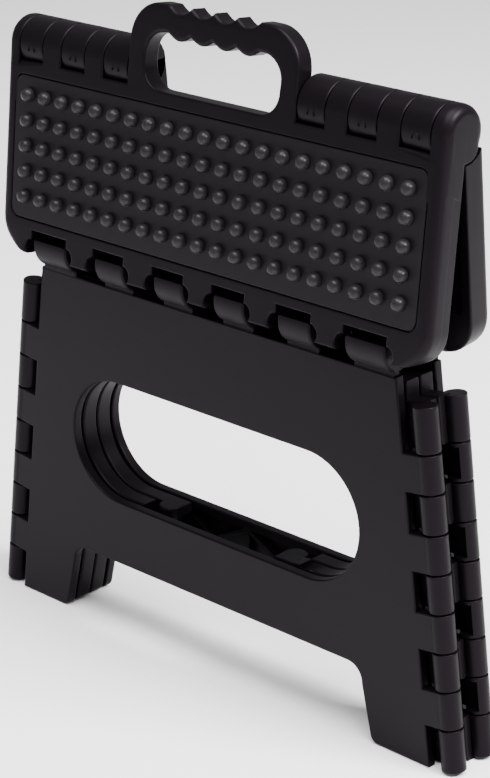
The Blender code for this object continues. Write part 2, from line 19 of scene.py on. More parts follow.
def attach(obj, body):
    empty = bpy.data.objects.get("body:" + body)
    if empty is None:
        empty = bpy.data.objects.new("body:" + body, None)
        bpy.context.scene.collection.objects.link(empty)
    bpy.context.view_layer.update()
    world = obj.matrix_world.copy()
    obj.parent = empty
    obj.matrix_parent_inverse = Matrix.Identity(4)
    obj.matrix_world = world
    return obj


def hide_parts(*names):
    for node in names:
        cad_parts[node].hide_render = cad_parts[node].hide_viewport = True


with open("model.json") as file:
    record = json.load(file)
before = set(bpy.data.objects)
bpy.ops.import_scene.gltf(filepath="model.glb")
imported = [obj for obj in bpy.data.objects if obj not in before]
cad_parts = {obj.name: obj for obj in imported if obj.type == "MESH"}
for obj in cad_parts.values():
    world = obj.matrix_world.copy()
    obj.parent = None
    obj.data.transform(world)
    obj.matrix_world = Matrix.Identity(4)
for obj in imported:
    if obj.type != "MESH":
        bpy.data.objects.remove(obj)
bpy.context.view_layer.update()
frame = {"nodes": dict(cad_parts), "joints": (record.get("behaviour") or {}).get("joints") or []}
joints = {joint["name"]: joint for joint in frame["joints"]}

# %% [markdown]
# ## The frame's own sizes
#
# The distance between two hinges in a tread half, and how far the hinge plane of the
# near leg stands from the middle, come from the joints. Every panel is drawn in its
# own flat frame, with x across, y up the panel and z out of its face.

# %% Hinges and local frames
near_hinge = Vector(joints["near_tread_hinge"]["pos_m"])
centre_hinge = Vector(joints["centre_hinge"]["pos_m"])
corner_axis = Vector(joints["left_corner_hinge"]["axis"])
LINK = (centre_hinge - near_hinge).length
STACK = -near_hinge.y
LEG_AXIS_Z = near_hinge.z
CORNER_X = joints["right_corner_hinge"]["pos_m"][0]
LEAN = math.atan2(corner_axis.x, corner_axis.z)
FOLD = math.asin(STACK / LINK)
HALF_TURN = Matrix.Rotation(math.pi, 4, "Z")
TREAD = Matrix.Translation(near_hinge) @ Matrix.Rotation(math.pi / 2 - FOLD, 4, "X")
LEG = Matrix.Translation((0, -STACK, 0)) @ Matrix.Rotation(math.pi / 2, 4, "X")
print("link %.1f mm, fold %.2f degrees" % (LINK * 1000, math.degrees(FOLD)))

# %% [markdown]
# ## The camera first
#
# The stool is seen from its right front corner, a little from above, through a long
# lens, so that its upright edges stay nearly parallel.

# %% Camera
CAMERA_PLACE = (0.7450, -0.7782, 0.5709)
CAMERA_TURN = (68.778, 0.318, 43.484)
camera = bpy.data.objects.new("camera", bpy.data.cameras.new("camera"))
bpy.context.scene.collection.objects.link(camera)
camera.location = CAMERA_PLACE
camera.rotation_euler = [math.radians(angle) for angle in CAMERA_TURN]
camera.data.sensor_width = 36
camera.data.lens = 107.16
camera.data.shift_x = 0.0113
camera.data.shift_y = -0.0031
camera.data.clip_start = 0.01
bpy.context.scene.camera = camera

# %% [markdown]
# ## Drawing an outline
#
# A panel starts as a closed line of points. Round stretches are arcs, and the finger
# scallops of the handle are a rectified sine wave. A curve object could hold the same
# outline, but an array can be mirrored, shifted and measured before any mesh exists.


# %% Outline helpers
def arc(centre, radius, start, end, steps):
    """Points centre + radius (cos a, sin a), with a running evenly from start to end degrees."""
    a = np.radians(np.linspace(start, end, steps + 1))
    return np.column_stack([centre[0] + radius * np.cos(a), centre[1] + radius * np.sin(a)])


def line(*points):
    """Corner points, for straight stretches."""
    return np.array(points, float)


def mirrored(points):
    """The same points with x negated, in reverse order, so that the line keeps its sense."""
    return points[::-1] * (-1, 1)


def both_sides(spans):
    """Spans of x on the right, with their mirror images, in order from left to right."""
    return [(-b, -a) for a, b in reversed(spans)] + list(spans)


def outset(loop, distance):
    """Moves each point by distance along the mitre of its two edges' left normals.

    With edge normals a and b the mitre is (a + b) / (1 + a.b), so edges move in parallel.
    The distance is one number, or one for each point.
    """
    edge = np.roll(loop, -1, axis=0) - loop
    edge /= np.linalg.norm(edge, axis=1)[:, None]
    after = np.column_stack([-edge[:, 1], edge[:, 0]])
    before = np.roll(after, 1, axis=0)
    scale = 1 + np.sum(after * before, axis=1)
    step = distance / np.maximum(scale, 0.35)
    return loop + step[:, None] * (after + before)


def blend(x, start, end):
    """3 t t - 2 t t t, where t runs from 0 at the start to 1 at the end."""
    t = np.clip((x - start) / (end - start), 0, 1)
    return t * t * (3 - 2 * t)


# %% [markdown]
# ## A moulded plate
#
# Moulded plastic has no sharp edges. Each plate is a stack of rings: the outline drawn
# in by r (1 - sin a) at height r (1 - cos a) makes the quarter-round edge, straight
# walls join the two roundings, and flat caps close it. The radius r may change from
# point to point. Hollows in a face are the same rings turned inside out, with a floor.
# A Bevel modifier could round a sharp block instead, but it has one width for a whole
# piece, and short edges, such as those of an arc, limit that width.


# %% Plate and lathe builders
class Shell:
    """Vertices and faces gathered from arrays, to become one closed mesh."""

    def __init__(self):
        self.points, self.faces, self.count = [], [], 0

    def ring(self, loop, z):
        """Adds the loop's points at height z, and returns their indices."""
        flat = np.column_stack([loop, np.broadcast_to(z, len(loop))])
        self.points.append(flat)
        self.count += len(flat)
        return np.arange(self.count - len(flat), self.count)

    def strip(self, loop, profile):
        """Quads between the rings of a profile of (inset, z) pairs, from low z to high z."""
        rings = [self.ring(outset(loop, inset), z) for inset, z in profile]
        for low, high in zip(rings, rings[1:]):
            quads = np.column_stack([low, np.roll(low, -1), np.roll(high, -1), high])
            self.faces += quads.tolist()
        return rings[0], rings[-1]

    def cap(self, rings, up):
        """Fills between flat rings with triangles whose normal points up or down."""
        points = np.concatenate(self.points)
        order = np.concatenate(rings)
        filled = tessellate_polygon([[Vector(p) for p in points[ring]] for ring in rings])
        triangles = order[np.array(filled)]
        a, b, c = (points[triangles[:, k], :2] for k in range(3))
        area = (b - a)[:, 0] * (c - a)[:, 1] - (b - a)[:, 1] * (c - a)[:, 0]
        wrong = area < 0 if up else area > 0
        triangles[wrong] = triangles[wrong][:, ::-1]
        self.faces += triangles[np.abs(area) > 1e-12].tolist()


def rise(low, radius, steps):
    """Pairs (radius (1 - sin a), low + radius (1 - cos a)) for a from 0 to 90 degrees."""
    turns = np.linspace(0, math.pi / 2, steps + 1)
    return [(radius * (1 - math.sin(a)), low + radius * (1 - math.cos(a))) for a in turns]


def crown(high, radius, steps):
    """The same quarter round upside down, ending on the height named."""
    return [(inset, high - drop) for inset, drop in reversed(rise(0, radius, steps))]


def plate(loops, low, high, edge, hollows_up=(), hollows_down=(), steps=4, low_edge=None):
    """A flat moulding between two heights, with rounded edges, holes and hollows.

    The edge is a radius, or a function that gives a radius for each point of a loop.
    """
    shell = Shell()
    bottom, top = [], []
    for loop in loops:
        radius = edge(loop) if callable(edge) else edge
        under = radius if low_edge is None else low_edge
        first, last = shell.strip(loop, rise(low, under, steps) + crown(high, radius, steps))
        bottom.append(first)
        top.append(last)
    for loop, depth, lip in hollows_up:
        floor, last = shell.strip(loop[::-1], [(0, high - depth)] + crown(high, lip, steps))
        top.append(last)
        shell.cap([floor], True)
    for loop, depth, lip in hollows_down:
        first, floor = shell.strip(loop[::-1], rise(low, lip, steps) + [(0, low + depth)])
        bottom.append(first)
        shell.cap([floor], False)
    shell.cap(bottom, False)
    shell.cap(top, True)
    return np.concatenate(shell.points), shell.faces


def barrel(length, radius, low_edge, high_edge, sides=48, steps=5):
    """A cylinder along z with rounded rims: a profile turned round the axis."""
    a = np.linspace(0, 2 * math.pi, sides, endpoint=False)
    circle = radius * np.column_stack([np.cos(a), np.sin(a)])
    shell = Shell()
    first, last = shell.strip(circle, rise(0, low_edge, steps) + crown(length, high_edge, steps))
    shell.cap([first], False)
    shell.cap([last], True)
    return np.concatenate(shell.points), shell.faces


def placed(shape, matrix):
    """The same shape with its points carried by a matrix."""
    points, faces = shape
    m = np.array(matrix)
    return points @ m[:3, :3].T + m[:3, 3], faces


# %% [markdown]
# ## Joining, cutting and shading
#
# A moulding is one body, so its knuckles are joined to its panel and its pockets are cut
# from it. A Boolean modifier does both. Its result is kept at once, so that every step
# starts from a plain mesh. Shading is soft except at creases, and large faces lead the
# normals, so that a flat face looks flat right up to its rounded edge.


# %% Meshes from shapes
def make(name, *shapes):
    """One object at the origin from one or more shapes."""
    mesh = bpy.data.meshes.new(name)
    points, faces, start = [], [], 0
    for shape_points, shape_faces in shapes:
        points.append(shape_points)
        faces += [[start + i for i in face] for face in shape_faces]
        start += len(shape_points)
    mesh.from_pydata(np.concatenate(points).tolist(), [], faces)
    obj = bpy.data.objects.new(name, mesh)
    bpy.context.scene.collection.objects.link(obj)
    return obj


def combine(body, operation, *shapes):
    """Joins shapes to a body, or cuts them away, and uses them up."""
    tool = make("tool", *shapes)
    step = body.modifiers.new("step", "BOOLEAN")
    step.operation, step.solver, step.object = operation, "EXACT", tool
    graph = bpy.context.evaluated_depsgraph_get()
    mesh = bpy.data.meshes.new_from_object(body.evaluated_get(graph))
    body.modifiers.clear()
    body.data, old = mesh, body.data
    bpy.data.meshes.remove(old)
    bpy.data.objects.remove(tool)


def smooth(obj, angle=38):
    """Soft shading that keeps flat faces flat: creases split, big faces lead the normals."""
    obj.data.shade_smooth()
    obj.data.set_sharp_from_angle(angle=math.radians(angle))
    weighted = obj.modifiers.new("flat faces lead", "WEIGHTED_NORMAL")
    weighted.mode = "FACE_AREA"
    weighted.weight = 90
    weighted.keep_sharp = True


def along_x(start, y):
    """Places a z barrel so that it starts at x and runs along x, in a panel's frame."""
    return Matrix.Translation((start, y, 0)) @ Matrix.Rotation(math.pi / 2, 4, "Y")


def along_y(start):
    """Places a z barrel so that it starts at y and runs along y."""
    return Matrix.Translation((0, start, 0)) @ Matrix.Rotation(-math.pi / 2, 4, "X")


# %% [markdown]
# ## The tread halves
#
# Each half is a tray: a flat skin with a rim and ribs underneath. Its upper edge is
# notched for the other half's knuckles, and its lower edge has a lobed window for each
# knuckle of the leg. Both hinges lie in the same line, so the barrels are centred there.
# The outline already holds the corners, the windows and the handle, so only the hidden
# pockets and the room round the knuckles are left for the Boolean steps.

# %% Tread sizes
# a distance too small to see, which keeps two faces from lying in one plane:
# the exact solver may lose a face where they do
HAIR = 0.0001
TREAD_HALF_WIDTH = 0.143
TREAD_EDGE = -0.0058
TREAD_FACE = 0.0136
TREAD_BACK = -0.0015
TREAD_CORNER = 0.018
CENTRE_WINDOW = LINK - 0.0085
WINDOW_ROOM = 0.0005
BARREL_RADIUS = TREAD_FACE - HAIR / 2
KNUCKLE_RIM = 0.0007
FAR_KNUCKLES = [(0.05565, 0.07215), (0.08635, 0.10285), (0.11705, 0.13355)]
NEAR_KNUCKLES = [(0.07265, 0.08585), (0.10335, 0.11655), (0.13405, 0.14300)]
ROOM = 0.0006
MIDDLE_GAP = 0.0003
EDGE = 0.0010
print("tread %.0f mm long, skin face %.1f mm above the hinge line"
      % (TREAD_HALF_WIDTH * 2000, TREAD_FACE * 1000))

# %% Leg hinge sizes, which the treads and the legs share
LEG_KNUCKLES = [(0.0097, 0.0311), (0.0516, 0.0734), (0.0934, 0.1192)]
LEG_KNUCKLE_RADIUS = 0.0126
WINDOW_REACH = 0.0068
LOBE_RADIUS = 0.0046
LOBE_CENTRE = -0.0022
LUG_RADIUS, LUG_RIM, LUG_ROOM, LUG_END = 0.0055, 0.0005, 0.0004, 0.1285
print(2 * len(LEG_KNUCKLES), "leg knuckles of", LEG_KNUCKLE_RADIUS * 2000, "mm")

# %% Handle sizes
CUT_OUT_HALF_WIDTH, CUT_OUT_END, CUT_OUT_CORNER = 0.05565, 0.0665, 0.008
HANDLE_HALF_WIDTH = 0.0550
HANDLE_TOP = 0.1356
HANDLE_BACK = 0.0034
HANDLE_CORNER = 0.0195
HANDLE_ROOT = 0.003
GRIP_HALF_WIDTH, GRIP_LOW, GRIP_HIGH, GRIP_CORNER = 0.0442, 0.0935, 0.1218, 0.012
FINGERS, FINGER_PITCH, FINGER_DEPTH = 4, 0.01475, 0.0036
UNDER_DEPTH = 0.85
print("handle hole %.0f by %.0f mm" % (GRIP_HALF_WIDTH * 2000, (GRIP_HIGH - GRIP_LOW) * 1000))

# %% Mat recess sizes
MAT_HALF_WIDTH, MAT_LOW, MAT_HIGH, MAT_CORNER = 0.1355, 0.0121, 0.0867, 0.0055
MAT_RECESS, MAT_LIP = 0.0013, 0.0006
STEP_BESIDE, STEP_BELOW, STEP_CORNER = 0.007, 0.0095, 0.004

# %% Rounding and rib sizes
END_ROUNDING = 0.0048
END_SWELL = (0.1245, 0.1370)
HANDLE_EXTRA = 0.0010
HANDLE_SWELL = (LINK + 0.002, LINK + 0.012)
SKIN, RIB_LEVEL, TRAY_TOP = 0.0036, 0.0056, 0.0080
RIB_LINES = (0.0, 0.0600, 0.0995, 0.1390)
POCKET_ROWS = ((0.0155, 0.0375), (0.0397, 0.0600), (0.0622, 0.0840))
RIM_WALL, HALF_RIB = 0.0011, 0.0013
CUTTER_PAST = 0.002


# %% Tread outlines
def lower_edge():
    """Left to right along the leg hinge: each window has straight sides and a lobe each way."""
    cut = math.degrees(math.asin((LOBE_CENTRE - TREAD_EDGE) / LOBE_RADIUS))
    parts = []
    for a, b in both_sides(LEG_KNUCKLES):
        parts += [arc((a, LOBE_CENTRE), LOBE_RADIUS, 180 + cut, 90, 10)]
        parts += [line((a, WINDOW_REACH), (b, WINDOW_REACH))]
        parts += [arc((b, LOBE_CENTRE), LOBE_RADIUS, 90, -cut, 10)]
    return np.vstack(parts)


def upper_edge(windows, gap_half_width):
    """Right to left along the centre hinge, stepping down into each window."""
    points = []
    for a, b in reversed(windows):
        b = min(b, TREAD_HALF_WIDTH)
        if b < TREAD_HALF_WIDTH:
            points += [(b, LINK)]
        points += [(b, CENTRE_WINDOW), (max(a, gap_half_width), CENTRE_WINDOW)]
        if a > gap_half_width:
            points += [(a, LINK)]
    return line(*points)


def tread_outline(windows, gap_half_width, middle):
    """The closed line of a half: lobed edge, round corners, windows, and the middle's line."""
    w, r = TREAD_HALF_WIDTH, TREAD_CORNER
    right = arc((w - r, TREAD_EDGE + r), r, -90, 0, 10)
    if windows[-1][1] < w:
        right = np.vstack([right, (w, LINK)])
    right = np.vstack([right, upper_edge(windows, gap_half_width)])
    left = mirrored(right)
    return np.vstack([lower_edge(), right, middle, left])


def cut_out(half_width, low, r):
    """Right to left round a gap in the upper edge with rounded lower corners."""
    right = arc((half_width - r, low + r), r, 0, -90, 8)
    return np.vstack([(half_width, LINK), right, mirrored(right), (-half_width, LINK)])


def finger_wave(x):
    """depth |sin(pi (x + reach) / pitch)| inside the four fingers, and nought outside."""
    reach = FINGERS * FINGER_PITCH / 2
    wave = FINGER_DEPTH * np.abs(np.sin(math.pi * (x + reach) / FINGER_PITCH))
    return np.where(np.abs(x) < reach, wave, 0.0)


def handle_edge():
    """Right to left round the handle: shoulder, finger scallops, shoulder."""
    reach = FINGERS * FINGER_PITCH / 2
    xs = np.linspace(reach, -reach, FINGERS * 14 + 1)
    w, r = HANDLE_HALF_WIDTH, HANDLE_CORNER
    shoulder = np.vstack([[w, LINK], arc((w - r, HANDLE_TOP - r), r, 0, 90, 14)])
    top = np.column_stack([xs, HANDLE_TOP - finger_wave(xs)])
    return np.vstack([shoulder, top, mirrored(shoulder)])


def grip_hole():
    """The hole under the handle, whose upper edge follows the fingers less deeply."""
    reach = FINGERS * FINGER_PITCH / 2
    xs = np.linspace(reach, -reach, FINGERS * 14 + 1)
    g, c = GRIP_HALF_WIDTH, GRIP_CORNER
    side = np.vstack([arc((g - c, GRIP_LOW + c), c, -90, 0, 10),
                      arc((g - c, GRIP_HIGH - c), c, 0, 90, 10)])
    under = np.column_stack([xs, GRIP_HIGH - UNDER_DEPTH * finger_wave(xs)])
    return np.vstack([side, under, mirrored(side)])[::-1]


def soft_ends(loop):
    """Edge radius: it swells towards the tread's two ends, and a little round the handle."""
    x, s = np.abs(loop[:, 0]), loop[:, 1]
    at_centre_hinge = (s > LINK - 0.001) & (x < TREAD_HALF_WIDTH)
    swell = blend(x, *END_SWELL) * np.where(at_centre_hinge, 0, 1)
    return EDGE + (END_ROUNDING - EDGE) * swell + HANDLE_EXTRA * blend(s, *HANDLE_SWELL)


def mat_loop(inset, notched):
    """The rounded outline of a grip mat, stepped round the handle recess on the far half."""
    w, low, high, r = MAT_HALF_WIDTH - inset, MAT_LOW + inset, MAT_HIGH - inset, MAT_CORNER
    half = np.vstack([arc((w - r, low + r), r, -90, 0, 8), arc((w - r, high - r), r, 0, 90, 8)])
    if notched:
        x, s = CUT_OUT_HALF_WIDTH + STEP_BESIDE + inset, CUT_OUT_END - STEP_BELOW - inset
        step = arc((x + STEP_CORNER, high - STEP_CORNER), STEP_CORNER, 90, 180, 5)
        half = np.vstack([half, step, (x, s)])
    return np.vstack([half, mirrored(half)])


def rectangle(x0, y0, x1, y1, r=0.0015):
    """A box's outline from its low corner to its high one, with corners of radius r."""
    return np.vstack([arc((x1 - r, y0 + r), r, -90, 0, 3), arc((x1 - r, y1 - r), r, 0, 90, 3),
                      arc((x0 + r, y1 - r), r, 90, 180, 3), arc((x0 + r, y0 + r), r, 180, 270, 3)])


def underside(notched):
    """Cutters for the shallow trays and the deeper pockets between their ribs."""
    inner, end = RIB_LINES[1] + RIM_WALL, RIB_LINES[-1] - RIM_WALL
    (tray_low, _), (_, second_high), (_, tray_high) = POCKET_ROWS
    trays = [(-end, tray_low, end, second_high if notched else tray_high)]
    if notched:
        trays += [(a, second_high - CUTTER_PAST, b, tray_high)
                  for a, b in both_sides([(inner, end - 2 * HAIR)])]
    pockets = []
    for a, b in both_sides(list(zip(RIB_LINES, RIB_LINES[1:]))):
        under_recess = notched and max(abs(a), abs(b)) < inner
        for low, high in POCKET_ROWS[:2] if under_recess else POCKET_ROWS:
            pockets += [(a + HALF_RIB, low + 2 * HAIR, b - HALF_RIB, high - 2 * HAIR)]
    below = TREAD_BACK - CUTTER_PAST
    cuts = [plate([rectangle(*tray)], below, RIB_LEVEL - HAIR * k, 0)
            for k, tray in enumerate(trays)]
    return cuts + [plate([rectangle(*pocket)], below, TREAD_FACE - SKIN, 0) for pocket in pockets]


# %% Tread bodies
def tread_lugs():
    """Spans of a half's own knuckles at the leg hinge, between the lobed windows."""
    clear = LOBE_RADIUS + LUG_ROOM
    ends = [v for span in LEG_KNUCKLES for v in span]
    outer = [(ends[1] + clear, ends[2] - clear), (ends[3] + clear, ends[4] - clear),
             (ends[5] + clear, LUG_END)]
    return both_sides(outer) + [(-ends[0] + clear, ends[0] - clear)]


def knuckle(span, y, radius, rim):
    """A barrel over a span of x, with both of its rims rounded."""
    a, b = span
    return placed(barrel(b - a, radius, rim, rim), along_x(a, y))


def block(low, high):
    """A sharp box between two corners."""
    (x0, y0, z0), (x1, y1, z1) = low, high
    return plate([line((x0, y0), (x1, y0), (x1, y1), (x0, y1))], z0, z1, 0, steps=1)


PROFILE = Matrix(((0, 0, 1, 0), (1, 0, 0, 0), (0, 1, 0, 0), (0, 0, 0, 1)))
END_BACK, END_REACH = -0.0010, 0.030
END_TOP_SWELL, END_FRONT_SWELL = (LINK - 0.012, LINK - 0.004), (0, 0.006)
TRAY_GROWTH = 0.00008


def end_radius(loop):
    """Edge radius on an end block: large in front and over the top, small behind."""
    swell = np.maximum(blend(loop[:, 0], *END_TOP_SWELL), blend(loop[:, 1], *END_FRONT_SWELL))
    return EDGE + (END_ROUNDING - EDGE) * swell


def end_block(span):
    """The outermost knuckle, drawn along x with the end of the panel below it in one piece.

    The profile's x is up the panel and its y is out of its face.
    """
    turn = math.degrees(math.asin(-END_BACK / BARREL_RADIUS))
    round_top = arc((LINK, 0), BARREL_RADIUS, turn - 180, 90, 40)
    loop = np.vstack([(LINK - END_REACH, END_BACK), round_top, (LINK - END_REACH, BARREL_RADIUS)])
    a, b = span
    shape = plate([loop], a, b + HAIR / 2, end_radius, low_edge=KNUCKLE_RIM)
    return placed(shape, PROFILE)


def centre_knuckle(span):
    """A half's own knuckle at the centre hinge: a barrel, or a block at the tread's end."""
    inner, outer = sorted(map(abs, span))
    if outer < TREAD_HALF_WIDTH - HAIR:
        return knuckle(span, LINK, BARREL_RADIUS, KNUCKLE_RIM)
    points, faces = end_block((inner, TREAD_HALF_WIDTH))
    if span[0] < 0:
        points, faces = points * (-1, 1, 1), [face[::-1] for face in faces]
    return points, faces


def tray_behind(windows, gap):
    """The deeper part of the near half, which stops where its thinner handle begins."""
    root = line((gap - HAIR, LINK), (gap - HAIR, GRIP_LOW - HANDLE_ROOT))
    tray = tread_outline(windows, gap, np.vstack([root, mirrored(root)]))
    return plate([outset(tray, TRAY_GROWTH)], TREAD_BACK, TRAY_TOP, EDGE)


def knuckle_rooms(others):
    """Cutters that leave room round the other half's knuckles and the leg's."""
    centre = [placed(barrel(b - a + 2 * WINDOW_ROOM, BARREL_RADIUS + ROOM, 0, 0),
                     along_x(a - WINDOW_ROOM, LINK)) for a, b in both_sides(others)]
    legs = [placed(barrel(b - a, LEG_KNUCKLE_RADIUS + ROOM, 0, 0), along_x(a, 0))
            for a, b in both_sides(LEG_KNUCKLES)]
    return centre + legs


# %% Tread halves
def tread_half(name, own, others, handle, body, node):
    """A half in its own flat frame, then carried to its place."""
    gap = HANDLE_HALF_WIDTH if handle else CUT_OUT_HALF_WIDTH
    windows = [(a - WINDOW_ROOM, b + WINDOW_ROOM) for a, b in others]
    if handle:
        loops, back = [tread_outline(windows, gap, handle_edge()), grip_hole()], HANDLE_BACK
    else:
        recess = cut_out(gap, CUT_OUT_END, CUT_OUT_CORNER)
        loops, back = [tread_outline(windows, gap, recess)], TREAD_BACK
    seat = (mat_loop(0, not handle), MAT_RECESS, MAT_LIP)
    obj = make(name, plate(loops, back, TREAD_FACE, soft_ends, [seat], low_edge=EDGE))
    if handle:
        combine(obj, "UNION", tray_behind(windows, gap))
    # nothing crosses the upright plane in which the two folded halves meet
    middle = block((-0.2, -MIDDLE_GAP, LEG_AXIS_Z + LINK / 2), (0.2, STACK, LEG_AXIS_Z + LINK + 0.01))
    combine(obj, "DIFFERENCE", placed(middle, TREAD.inverted()))
    for cut in underside(not handle):
        combine(obj, "DIFFERENCE", cut)
    combine(obj, "DIFFERENCE", *knuckle_rooms(others))
    for span in both_sides(own):
        combine(obj, "UNION", centre_knuckle(span))
    for span in tread_lugs():
        combine(obj, "UNION", knuckle(span, 0, LUG_RADIUS, LUG_RIM))
    obj.data.transform(TREAD if handle else HALF_TURN @ TREAD)
    smooth(obj)
    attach(obj, body)
    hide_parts(node)
    print(name, len(obj.data.polygons), "faces")
    return obj


near_panel = tread_half("near_tread_panel", NEAR_KNUCKLES, FAR_KNUCKLES, True,
                        "near_tread", "near_tread")
far_windows = NEAR_KNUCKLES[:2] + [(0.13405, 0.1455)]
far_panel = tread_half("far_tread_panel", FAR_KNUCKLES, far_windows, False,
                       "far_tread", "far_tread")

# %% [markdown]
# ## The arches on the knuckles
#
# Each of the far half's knuckles has a small raised arch, on the side that shows when the
# stool is folded. It is a flat half ring pushed through the barrel's round face. Joining
# it to the barrel would change nothing that shows, so it stays a piece of its own.

# %% Arches
PIP_OUTER, PIP_INNER, PIP_ROOT, PIP_TOP, PIP_EDGE = 0.0024, 0.0017, 0.008, 0.0138, 0.0002
PIP_S = LINK - 0.0029


def pip():
    """A small round arch, open below, that stands a little out of a knuckle's round side."""
    rim = np.vstack([arc((0, 0), PIP_OUTER, -20, 200, 14), arc((0, 0), PIP_INNER, 200, -20, 14)])
    return plate([rim], PIP_ROOT, PIP_TOP, PIP_EDGE, steps=1)


arches = [placed(pip(), TREAD @ Matrix.Translation(((a + b) / 2, PIP_S, 0)))
          for a, b in both_sides(FAR_KNUCKLES)]
knuckle_arches = make("knuckle_arches", *arches)
smooth(knuckle_arches)
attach(knuckle_arches, "far_tread")
print(len(arches), "arches")

# %% [markdown]
# ## The grip mats
#
# Low round studs of soft rubber stop a shoe from slipping. Each stud is a dome with a
# small flat tip, and a thin mat carries them in the tread's recess. A hundred copies of
# one stud cost little, because the stud has only a few dozen faces.

# %% Grip mats
DOT_PITCH_X, DOT_PITCH_S, DOT_FIRST_S = 0.0125, 0.01313, 0.02397
DOT_COLUMNS, DOT_ROWS = 21, 5
DOT_RADIUS, DOT_HEIGHT, DOT_TIP = 0.0038, 0.0042, 0.0012
DOT_SINK, DOT_POWER = -12, 0.8
MAT_GROOVE, MAT_EDGE = 0.0005, 0.0004
MAT_TOP = TREAD_FACE - HAIR


def stud_template(sides=12, rings=4):
    """A flat-tipped dome: radius tip + (r - tip) (cos a) ** power at height h sin a.

    The angle a starts a little below 0, so that the stud is rooted in the mat, and ends at 90.
    """
    turn = np.linspace(0, 2 * math.pi, sides, endpoint=False)
    circle = np.column_stack([np.cos(turn), np.sin(turn)])
    a = np.radians(np.linspace(DOT_SINK, 90, rings))
    radii = DOT_TIP + (DOT_RADIUS - DOT_TIP) * np.abs(np.cos(a)) ** DOT_POWER
    heights = DOT_HEIGHT * np.sin(a)
    shell = Shell()
    loops = [shell.ring(circle * radius, height) for radius, height in zip(radii, heights)]
    for low, high in zip(loops, loops[1:]):
        shell.faces += np.column_stack([low, np.roll(low, -1), np.roll(high, -1), high]).tolist()
    shell.faces += [loops[0][::-1].tolist(), loops[-1].tolist()]
    return np.concatenate(shell.points), shell.faces


def dot_centres(notched):
    """The stud grid, without the studs that the far half's step leaves no room for."""
    x = (np.arange(DOT_COLUMNS) - (DOT_COLUMNS - 1) / 2) * DOT_PITCH_X
    s = DOT_FIRST_S + np.arange(DOT_ROWS) * DOT_PITCH_S
    grid = np.array(np.meshgrid(x, s)).reshape(2, -1).T
    beside = CUT_OUT_HALF_WIDTH + STEP_BESIDE + DOT_RADIUS
    below = CUT_OUT_END - STEP_BELOW - DOT_RADIUS
    keep = (np.abs(grid[:, 0]) > beside) | (grid[:, 1] < below)
    return grid[keep] if notched else grid


def grip_mat(name, notched, body, node):
    """A thin sheet that fills the recess, with its studs standing on it."""
    under = TREAD_FACE - MAT_RECESS + 2 * HAIR
    sheet = plate([mat_loop(MAT_GROOVE, notched)], under, MAT_TOP, MAT_EDGE, steps=2)
    stud = stud_template()
    studs = [placed(stud, Matrix.Translation((x, s, MAT_TOP))) for x, s in dot_centres(notched)]
    obj = make(name, sheet, *studs)
    obj.data.transform(HALF_TURN @ TREAD if notched else TREAD)
    smooth(obj, 50)
    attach(obj, body)
    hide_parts(node)
    print(name, len(obj.data.polygons), "faces,", len(studs), "studs")
    return obj


near_mat = grip_mat("near_grip_sheet", False, "near_tread", "near_grip_mat")
far_mat = grip_mat("far_grip_sheet", True, "far_tread", "far_grip_mat")

# %% [markdown]
# ## The legs
#
# A leg is a flat panel that widens to the floor, with a slot for a hand and two feet.
# Its slanted edges are notched wherever a side's knuckle sits, and between the notches
# its own knuckles, hollow on their hidden side, lie flush with its face. Six large
# knuckles rise into the tread. A panel of one thickness would look like sheet, so crossed
# ribs are left standing on the hidden face, as a mould would leave them.

# %% Leg sizes
LEG_TOP = 0.193
LEG_OUT, LEG_IN = 0.0060, 0.0005
LEG_EDGE = 0.0109
LEG_KNUCKLE_TOP, LEG_KNUCKLE_FLAT, LEG_KNUCKLE_EDGE = 0.0032, -0.0095, 0.0015
NECK_BACK, NECK_FRONT, NECK_FOOT = LEG_IN + 0.0006, LEG_OUT - 0.0002, -0.0150
HOLE_Z, HOLE_RADIUS, HOLE_STRAIGHT = 0.1083, 0.0334, 0.0654
BAND_LOW = 0.039
FOOT_INNER_TOP, FOOT_INNER_LOW, CROTCH_RADIUS = (0.102, 0.030), (0.109, 0.0), 0.009
FOOT_CORNER = 0.005
CORNER_RADIUS, WEB_END = 0.0061, -0.001
SMALL_RIM, SMALL_SIDES = 0.0006, 32
COLUMN_TOP, COLUMN_END, COLUMN_MIDDLES = 0.1835, 0.0232, 7
TRIM = 0.0004
BRACE_BANDS = ((0.146, 0.189, 0.108), (0.0430, 0.0710, 0.098))
BRACE_CELLS, BRACE_HALF_RIB, BRACE_DEPTH, BRACE_LIP = 4, 0.0016, 0.0028, 0.0003
POCKET_IN, POCKET_OUT, POCKET_END = 0.0085, 0.0040, 0.0021
POCKET_FLOOR, POCKET_TOP = -0.0024, -0.0075


# %% Leg outlines
def column_spans():
    """Knuckle spans up a corner: the sides' first and last, the leg's between them."""
    middle = (COLUMN_TOP - 2 * COLUMN_END) / COLUMN_MIDDLES
    marks = [0.0008] + [COLUMN_END + i * middle for i in range(COLUMN_MIDDLES + 1)] + [COLUMN_TOP]
    spans = list(zip(marks, marks[1:]))
    return spans[0::2], spans[1::2]


def corner(hand):
    """Frame on a leg's corner hinge: x across, y up the axis, z outward."""
    return (LEG @ Matrix.Translation((hand * CORNER_X, 0, 0))
            @ Matrix.Rotation(hand * LEAN, 4, "Z"))


def on_corner(u, w):
    """Panel point for a point u across and w up the right-hand corner hinge."""
    c, s = math.cos(LEAN), math.sin(LEAN)
    return CORNER_X + u * c - w * s, u * s + w * c


def web(span):
    """Four points: out from the notch line to the hinge line along a span, and back."""
    a, b = span
    return [on_corner(-LEG_EDGE, a), on_corner(WEB_END, a),
            on_corner(WEB_END, b), on_corner(-LEG_EDGE, b)]


